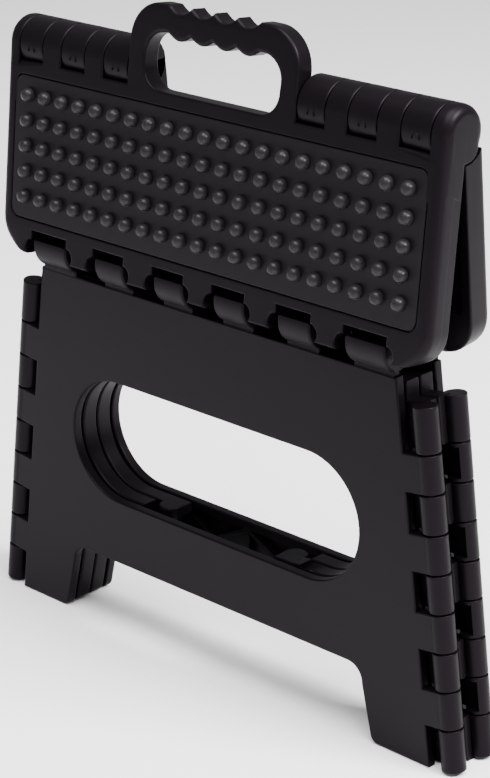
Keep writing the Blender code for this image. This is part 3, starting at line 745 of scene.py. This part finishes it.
def crotch():
    """From the cross band round into the right foot, down it, and round its inner corner."""
    x, z = FOOT_INNER_TOP
    splay = math.atan2(FOOT_INNER_LOW[0] - x, z)
    centre_x = FOOT_INNER_LOW[0] + FOOT_CORNER / math.tan((math.pi / 2 + splay) / 2)
    toe = arc((centre_x, FOOT_CORNER), FOOT_CORNER, 180 + math.degrees(splay), 270, 8)
    return np.vstack([arc((x - CROTCH_RADIUS, z), CROTCH_RADIUS, 90, 0, 8), toe])


def stadium():
    """The hand hole: two half circles joined by straight lines."""
    right = arc((HOLE_STRAIGHT, HOLE_Z), HOLE_RADIUS, -90, 90, 32)
    return np.vstack([right, mirrored(right)])


def leg_loops(own):
    """The panel's outline, notched between its own spans, and its hole."""
    foot = on_corner(-LEG_EDGE, 0)
    low_x = foot[0] + foot[1] * math.tan(LEAN)
    top_w = (LEG_TOP + LEG_EDGE * math.sin(LEAN)) / math.cos(LEAN)
    edge = [point for span in own for point in web(span)] + [on_corner(-LEG_EDGE, top_w)]
    right = np.vstack([crotch(), (low_x, 0), line(*edge)])
    return [np.vstack([right, mirrored(right)]), stadium()[::-1]]


def leg_knuckle():
    """Profile across the hinge: round outside, flat on top and behind, with a neck below.

    The profile's x is height and its y is outward from the hinge plane.
    """
    top = math.degrees(math.acos(LEG_KNUCKLE_TOP / LEG_KNUCKLE_RADIUS))
    front = arc((0, 0), LEG_KNUCKLE_RADIUS, 150, top, 20)
    rest = line((LEG_KNUCKLE_TOP, LEG_KNUCKLE_FLAT), (-0.0083, LEG_KNUCKLE_FLAT),
                (-0.0118, NECK_BACK), (NECK_FOOT, NECK_BACK),
                (NECK_FOOT, NECK_FRONT), (-0.0114, NECK_FRONT))
    return np.vstack([front, rest])


ACROSS = Matrix(((0, 0, 1, 0), (0, -1, 0, 0), (1, 0, 0, 0), (0, 0, 0, 1)))


def brace_pockets():
    """Triangular hollows on a leg's hidden face, between crossed ribs over each band."""
    loops = []
    for low, high, reach in BRACE_BANDS:
        xs = np.linspace(-reach, reach, BRACE_CELLS + 1)
        for a, b in zip(xs, xs[1:]):
            crossing = ((a + b) / 2, (low + high) / 2)
            corners = [(a, low), (b, low), (b, high), (a, high)]
            for p, q in zip(corners, corners[1:] + corners[:1]):
                loops.append(outset(line(p, q, crossing), BRACE_HALF_RIB))
    return loops


# %% Leg panels
def corner_knuckle(span, place):
    """A small barrel over a span of a corner hinge, a little shorter than the span."""
    a, b = span
    return placed(barrel(b - a - 2 * TRIM, CORNER_RADIUS, SMALL_RIM, SMALL_RIM, SMALL_SIDES),
                  place @ along_y(a + TRIM))


def leg_panel(name, turn, body, node):
    """A leg in the near leg's place, turned by half a turn for the far one."""
    own = column_spans()[1]
    webs = [(a + 2 * HAIR, b - 2 * HAIR) for a, b in own]
    hollows = [(loop, BRACE_DEPTH, BRACE_LIP) for loop in brace_pockets()]
    obj = make(name, placed(plate(leg_loops(webs), LEG_IN, LEG_OUT, EDGE, (), hollows),
                            turn @ LEG))
    for hand in (-1, 1):
        place = turn @ corner(hand)
        for a, b in own:
            combine(obj, "UNION", corner_knuckle((a, b), place))
            x0, x1 = sorted((-hand * POCKET_IN, hand * POCKET_OUT))
            pocket = block((x0, a + POCKET_END, POCKET_TOP), (x1, b - POCKET_END, POCKET_FLOOR))
            combine(obj, "DIFFERENCE", placed(pocket, place))
    axis = turn @ Matrix.Translation((0, -STACK, LEG_AXIS_Z)) @ ACROSS
    for a, b in both_sides(LEG_KNUCKLES):
        large = plate([leg_knuckle()[::-1]], a + ROOM, b - ROOM, LEG_KNUCKLE_EDGE)
        combine(obj, "UNION", placed(large, axis))
    smooth(obj)
    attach(obj, body)
    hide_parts(node)
    print(name, len(obj.data.polygons), "faces")
    return obj


near_leg_panel = leg_panel("near_leg_panel", Matrix.Identity(4), "near_leg", "near_leg")
far_leg_panel = leg_panel("far_leg_panel", HALF_TURN, "far_leg", "far_leg")

# %% [markdown]
# ## The folding sides
#
# Each side is two halves that copy the leg's foot, band and hole. They meet in a fold
# with short rows of knuckles above and below the hole. When the stool opens they swing
# out to close its two ends. The fold's knuckles are a round barrel with a flat arm, a
# D from above, because the arm has to reach back from the fold's line to the panel.

# %% Side sizes
FOLD_RADIUS = 0.0062
FOLD_BANDS = [(0.0535, 0.0885), (0.1572, COLUMN_TOP)]
FOLD_NOTCH, NOTCH_BACK, NOTCH_PAST, ARM_REACH = 0.0100, 0.01, 0.0015, 0.0115
SOFT_EDGE, ARM_CORNER, CAP_DEPTH = 0.0008, 0.0006, 0.0060
SIDE_TOP, SIDE_IN, SIDE_OUT = 0.1925, STACK - 0.0004, 0.0010
SIDE_SKIN, SIDE_RIM, SIDE_EDGE, SEAM = 0.0024, 0.0025, 0.0012, 0.0003
FOLD_REACH = LINK * math.cos(FOLD)
print("fold %.1f mm in from the corner hinge" % (FOLD_REACH * 1000))


# %% Side outlines
def fold_line(hand):
    """Frame on the fold of a side, parallel to its corner hinge."""
    return corner(hand) @ Matrix.Translation((-hand * FOLD_REACH, 0, -STACK))


def side_loop(own):
    """A right-hand half: foot, notched corner edge, level top, hole end, cross band."""
    reach = FOLD_REACH / math.cos(LEAN) - SEAM
    low, high = HOLE_Z - HOLE_RADIUS, HOLE_Z + HOLE_RADIUS
    webs = [(max(a, 0.0), b) for a, b in own]
    edge = [(CORNER_X + WEB_END, 0)] + web(webs[0])[2:]
    edge += [point for span in webs[1:] for point in web(span)]
    edge += [on_corner(-LEG_EDGE, SIDE_TOP), on_corner(-FOLD_REACH + SEAM, SIDE_TOP)]
    end = arc((HOLE_STRAIGHT, HOLE_Z), HOLE_RADIUS, 90, -90, 32)
    fold = [(CORNER_X - z * math.tan(LEAN) - reach, z) for z in (high, low, BAND_LOW)]
    return np.vstack([crotch(), edge, fold[:1], end, fold[1:]])


def side_hollows(hand):
    """Cutters for the shallow hollows in a half's inner face, inside its turned-in rims."""
    low, high = HOLE_Z - HOLE_RADIUS - SIDE_RIM, HOLE_Z + HOLE_RADIUS + SIDE_RIM
    bands = [(0.0575, BAND_LOW + SIDE_RIM, 0.0960, low), (0.0450, high, 0.1120, 0.1765)]
    hinge = LEG_EDGE + SIDE_RIM
    strips = [(hinge, 0.0045, 0.0420, 0.0360), (hinge, 0.0385, 0.0460, 0.0765),
              (hinge, 0.0790, 0.0400, 0.1400)]
    cuts = []
    for place, sign, boxes in ((LEG, hand, bands), (corner(hand), -hand, strips)):
        for box in boxes:
            loop = rectangle(*box) if sign > 0 else mirrored(rectangle(*box))
            cuts += [placed(plate([loop], -SIDE_IN - 0.001, -SIDE_OUT - SIDE_SKIN, 0), place)]
    return cuts


def fold_spans(outer):
    """Spans on the fold: the first and third knuckle of each band, or the second."""
    spans = []
    for low, high in FOLD_BANDS:
        marks = np.linspace(low, high, 4)
        three = list(zip(marks, marks[1:]))
        spans += three[0::2] if outer else three[1:2]
    return spans


# a frame whose x and y lie on the floor: x to the right, y outward from the middle
LEVEL = Matrix(((1, 0, 0, 0), (0, -1, 0, 0), (0, 0, -1, 0), (0, 0, 0, 1)))


def hole_cap(hand):
    """The top of a fold knuckle at the grip hole: a D in plan, level with the hole's edge."""
    level, r = HOLE_Z - HOLE_RADIUS, FOLD_RADIUS - 2 * HAIR
    fold_x = CORNER_X - FOLD_REACH / math.cos(LEAN) - level * math.tan(LEAN)
    outer = STACK - SIDE_OUT - 2 * HAIR
    loop = np.vstack([arc((fold_x, 0), r, 180, 360, 20), (fold_x + ARM_REACH, 0.001),
                      (fold_x + ARM_REACH, outer), (fold_x - r, outer)])
    loop = loop if hand > 0 else mirrored(loop)
    return plate([loop], -level - HAIR, -level + CAP_DEPTH, SOFT_EDGE)


# %% Side halves
def fold_notches(hand, outer, place):
    """Cutters where the other half's fold knuckles sit, longer at the ends of a band."""
    ends = [edge for band in FOLD_BANDS for edge in band]
    x0, x1 = sorted((-hand * NOTCH_BACK, hand * FOLD_NOTCH))
    cuts = []
    for a, b in fold_spans(not outer):
        low = a - (NOTCH_PAST if a in ends else HAIR)
        high = b + (NOTCH_PAST if b in ends else HAIR)
        cuts += [placed(block((x0, low, -STACK), (x1, high, STACK)), place)]
    return cuts


def fold_knuckle(span, hand, place):
    """The arm and the barrel of a fold knuckle, in the order in which they are joined."""
    low, high = span[0] + TRIM, span[1] - TRIM
    x0, x1 = sorted((-hand * (FOLD_RADIUS - HAIR), hand * ARM_REACH))
    arm = plate([rectangle(x0, low, x1, high, ARM_CORNER)], SEAM, STACK - SIDE_OUT - HAIR, SOFT_EDGE)
    round_end = barrel(high - low - HAIR, FOLD_RADIUS, SMALL_RIM, SMALL_RIM, SMALL_SIDES)
    return placed(arm, place), placed(round_end, place @ along_y(low + HAIR / 2))


def side_half(name, hand, outer, turn, body, node):
    """A half of a side, drawn on the near leg and turned by half a turn for the far one."""
    own = column_spans()[0]
    loop = side_loop(own)
    loop = loop if hand > 0 else mirrored(loop)
    obj = make(name, placed(plate([loop], -SIDE_IN, -SIDE_OUT, SIDE_EDGE), turn @ LEG))
    for cut in side_hollows(hand):
        combine(obj, "DIFFERENCE", placed(cut, turn))
    fold = turn @ fold_line(hand)
    for cut in fold_notches(hand, outer, fold):
        combine(obj, "DIFFERENCE", cut)
    for span in own:
        combine(obj, "UNION", corner_knuckle(span, turn @ corner(hand)))
    for span in fold_spans(outer):
        for shape in fold_knuckle(span, hand, fold):
            combine(obj, "UNION", shape)
        if span[1] == FOLD_BANDS[0][1]:
            combine(obj, "UNION", placed(hole_cap(hand), turn @ LEVEL))
    smooth(obj)
    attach(obj, body)
    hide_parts(node)
    print(name, len(obj.data.polygons), "faces")
    return obj


side_pieces = []
for word, hand, outer in (("left", -1, False), ("right", 1, True)):
    near_name, far_name = "near_%s_side" % word, "far_%s_side" % word
    side_pieces += [side_half(near_name + "_panel", hand, outer, Matrix.Identity(4),
                              near_name, near_name)]
    side_pieces += [side_half(far_name + "_panel", -hand, not outer, HALF_TURN,
                              far_name, far_name)]

# %% [markdown]
# ## Finishes from shader maths
#
# Three finishes cover the stool: grained plastic, soft rubber and drawn steel. Each one
# is noise on the Object coordinates, which stay with a piece when it moves. Dozens of
# nodes are tiresome to place by hand, so a small class lets a formula add them.

# %% Shader maths
class Value:
    """Wraps a shader socket, so that +, - and * add their Math nodes."""

    def __init__(self, tree, socket):
        self.tree, self.socket = tree, socket

    def node(self, kind, settings=None, **inputs):
        """Adds a node: settings first, then values or links, for Socket=... or, by number, i0=..."""
        made = self.tree.nodes.new(kind)
        for key, value in (settings or {}).items():
            setattr(made, key, value)
        for key, value in inputs.items():
            numbered = key[0] == "i" and key[1:].isdigit()
            target = made.inputs[int(key[1:]) if numbered else key]
            if isinstance(value, Value):
                self.tree.links.new(value.socket, target)
            else:
                target.default_value = value
        return made

    def maths(self, operation, a, b):
        """One Math node on two values or numbers."""
        made = self.node("ShaderNodeMath", {"operation": operation}, i0=a, i1=b)
        return Value(self.tree, made.outputs[0])

    def __add__(self, other):
        return self.maths("ADD", self, other)

    __radd__ = __add__

    def __sub__(self, other):
        return self.maths("SUBTRACT", self, other)

    def __rsub__(self, other):
        return self.maths("SUBTRACT", other, self)

    def __mul__(self, other):
        return self.maths("MULTIPLY", self, other)

    __rmul__ = __mul__

    def into(self, shader, name):
        """Links the value to a socket of a shader."""
        self.tree.links.new(self.socket, shader.inputs[name])

    def clamp(self, low, high):
        """The value, kept between low and high."""
        made = self.node("ShaderNodeClamp", None, Value=self, Min=low, Max=high)
        return Value(self.tree, made.outputs[0])


def finish(name, roughness, metallic=0.0):
    """A new material, with its Principled shader and its Object coordinates."""
    material = bpy.data.materials.new(name)
    material.use_nodes = True
    tree = material.node_tree
    shader = tree.nodes["Principled BSDF"]
    shader.inputs["Roughness"].default_value = roughness
    shader.inputs["Metallic"].default_value = metallic
    place = Value(tree, tree.nodes.new("ShaderNodeTexCoord").outputs["Object"])
    return material, shader, place


def noise(place, scale, detail=2.0, roughness=0.5):
    """Fractal noise from 0 to 1, with scale cells to a metre."""
    made = place.node("ShaderNodeTexNoise", None, Vector=place, Scale=scale, Detail=detail,
                      Roughness=roughness)
    return Value(place.tree, made.outputs["Fac"])


def mix_colour(factor, a, b):
    """The colour a (1 - factor) + b factor."""
    made = factor.node("ShaderNodeMix", {"data_type": "RGBA"}, i0=factor, i6=a, i7=b)
    return Value(factor.tree, made.outputs[2])


def bump(place, height, strength, distance):
    """A normal tilted by the slope of a height, whose full range is the distance."""
    made = place.node("ShaderNodeBump", None, Height=height, Strength=strength, Distance=distance)
    return Value(place.tree, made.outputs["Normal"])


# %% [markdown]
# ## Charcoal plastic
#
# The mouldings are a nearly black plastic with a fine grain, and they take soft, cloudy
# highlights. One noise would look like stone, so a broad, a middle and a very fine one
# share the work, and the fine one only tilts the surface.


# %% Charcoal plastic
def charcoal_plastic():
    """Colour and roughness follow the broad and middle noise, the bump mostly the fine one."""
    material, shader, place = finish("charcoal_plastic", 0.5)
    cloud = noise(place, 14, 3)
    grain = noise(place, 1500, 2, 0.6)
    scuff = noise(place, 90, 4, 0.65)
    colour = mix_colour(cloud * 0.6 + scuff * 0.4, (0.0018, 0.0013, 0.0019, 1),
                        (0.0034, 0.0025, 0.0035, 1))
    colour.into(shader, "Base Color")
    gloss = (0.32 + cloud * 0.08 + scuff * 0.10).clamp(0.28, 0.6)
    gloss.into(shader, "Roughness")
    shader.inputs["Specular IOR Level"].default_value = 0.075
    shader.inputs["Specular Tint"].default_value = (1.0, 0.86, 1.0, 1.0)
    bump(place, grain * 0.8 + scuff * 0.2, 0.25, 0.0001).into(shader, "Normal")
    return material


# %% [markdown]
# ## Stud rubber
#
# The studs are painted a paler grey than the sheet that carries them: a painted highlight,
# for the light that catches their domes. The change follows height, so each point of the
# mat stores how far it stands above the tread, and the material reads that attribute.
# Two materials would need the mat cut into faces of each kind.


# %% Rubber studs
def stud_rubber():
    """Soft rubber: the sheet is near black, and the studs that stand out of it are painted greyer, a
    painted highlight on their domes.
    """
    material, shader, place = finish("stud_rubber", 0.4)
    cloud = noise(place, 220, 3)
    fleck = noise(place, 1300, 2, 0.6)
    height = place.node("ShaderNodeAttribute", {"attribute_name": "stud_height"})
    raised = Value(place.tree, height.outputs["Fac"])
    # painted highlight: the raised studs get a paler grey than the sheet, for the light on their
    # domes
    grey = mix_colour(cloud, (0.0100, 0.0090, 0.0102, 1), (0.0160, 0.0144, 0.0162, 1))
    black = mix_colour(cloud, (0.0016, 0.0012, 0.0017, 1), (0.0028, 0.0021, 0.0029, 1))
    mix_colour(raised, black, grey).into(shader, "Base Color")
    gloss = (0.44 - raised * 0.17 + fleck * 0.06).clamp(0.22, 0.7)
    gloss.into(shader, "Roughness")
    shader.inputs["Specular IOR Level"].default_value = 0.14
    shader.inputs["Specular Tint"].default_value = (1.0, 0.92, 1.0, 1.0)
    bump(place, fleck, 0.2, 0.0001).into(shader, "Normal")
    return material


# %% [markdown]
# ## Drawn steel
#
# The hinge rods are plain wire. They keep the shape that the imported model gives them,
# and only their finish is made here. Full metal with a little noise is enough, because
# only their ends, and short stretches between two knuckles, can be seen.


# %% Steel rods
def drawn_steel():
    """Steel wire with fine marks from the die."""
    material, shader, place = finish("drawn_steel", 0.3, 1.0)
    marks = noise(place, 900, 2)
    colour = mix_colour(marks, (0.42, 0.43, 0.45, 1), (0.60, 0.61, 0.63, 1))
    colour.into(shader, "Base Color")
    (0.24 + marks * 0.16).into(shader, "Roughness")
    return material


# %% Dressing the pieces
def dress(obj, material):
    """Leaves a piece with this one material."""
    obj.data.materials.clear()
    obj.data.materials.append(material)


def mark_studs(obj, turn):
    """Stores how far each point stands above the tread's face, from 0 to 1: the mask of the studs'
    painted highlight.
    """
    count = len(obj.data.vertices)
    co = np.empty(count * 3)
    obj.data.vertices.foreach_get("co", co)
    inverse = np.array((turn @ TREAD).inverted())
    height = (co.reshape(-1, 3) @ inverse[:3, :3].T + inverse[:3, 3])[:, 2]
    raised = np.clip((height - TREAD_FACE - 0.00005) / 0.0004, 0, 1)
    layer = obj.data.attributes.new("stud_height", "FLOAT", "POINT")
    layer.data.foreach_set("value", raised.astype(np.float32))


mark_studs(near_mat, Matrix.Identity(4))
mark_studs(far_mat, HALF_TURN)
plastic, rubber, steel = charcoal_plastic(), stud_rubber(), drawn_steel()
for obj in [near_panel, far_panel, knuckle_arches, near_leg_panel, far_leg_panel] + side_pieces:
    dress(obj, plastic)
for obj in (near_mat, far_mat):
    dress(obj, rubber)
for node_name, node in frame["nodes"].items():
    if node_name.endswith("_rod"):
        dress(node, steel)
print("finishes:", plastic.name, rubber.name, steel.name)

# %% [markdown]
# ## The studio
#
# A pale floor runs back to the horizon. A broad light from the upper right skims the
# faces and catches every rounded edge, and a weaker one fills the front. Black plastic
# shows little of itself and mostly what it reflects, so the lights' size and place do
# more for its form than their power.

# %% Floor and lights
floor = make("floor", (np.array([[-6, -6, 0], [6, -6, 0], [6, 6, 0], [-6, 6, 0]], float),
                       [[0, 1, 2, 3]]))
floor.location.z = -0.0002
pale, pale_shader, pale_place = finish("pale_floor", 0.9)
pale_tone = mix_colour(noise(pale_place, 3, 2), (0.90, 0.90, 0.90, 1), (0.93, 0.93, 0.93, 1))
pale_tone.into(pale_shader, "Base Color")
dress(floor, pale)


def softbox(name, place, aim, width, height, power):
    """An area light at a place, turned to face a point."""
    lamp = bpy.data.objects.new(name, bpy.data.lights.new(name, "AREA"))
    bpy.context.scene.collection.objects.link(lamp)
    lamp.data.shape = "RECTANGLE"
    lamp.data.size, lamp.data.size_y, lamp.data.energy = width, height, power
    lamp.location = place
    lamp.rotation_euler = (Vector(aim) - Vector(place)).to_track_quat("-Z", "Y").to_euler()


softbox("key", (1.3, 0.3, 1.5), (0, 0, 0.18), 0.8, 0.6, 95)
softbox("front_fill", (-0.4, -1.8, 1.0), (0, 0, 0.18), 1.6, 1.2, 5)
softbox("top", (0.3, -0.4, 2.2), (0, 0, 0), 1.6, 1.6, 110)
world = bpy.data.worlds.new("studio")
world.use_nodes = True
world.node_tree.nodes["Background"].inputs["Color"].default_value = (1, 1, 1, 1)
world.node_tree.nodes["Background"].inputs["Strength"].default_value = 0.45
bpy.context.scene.world = world
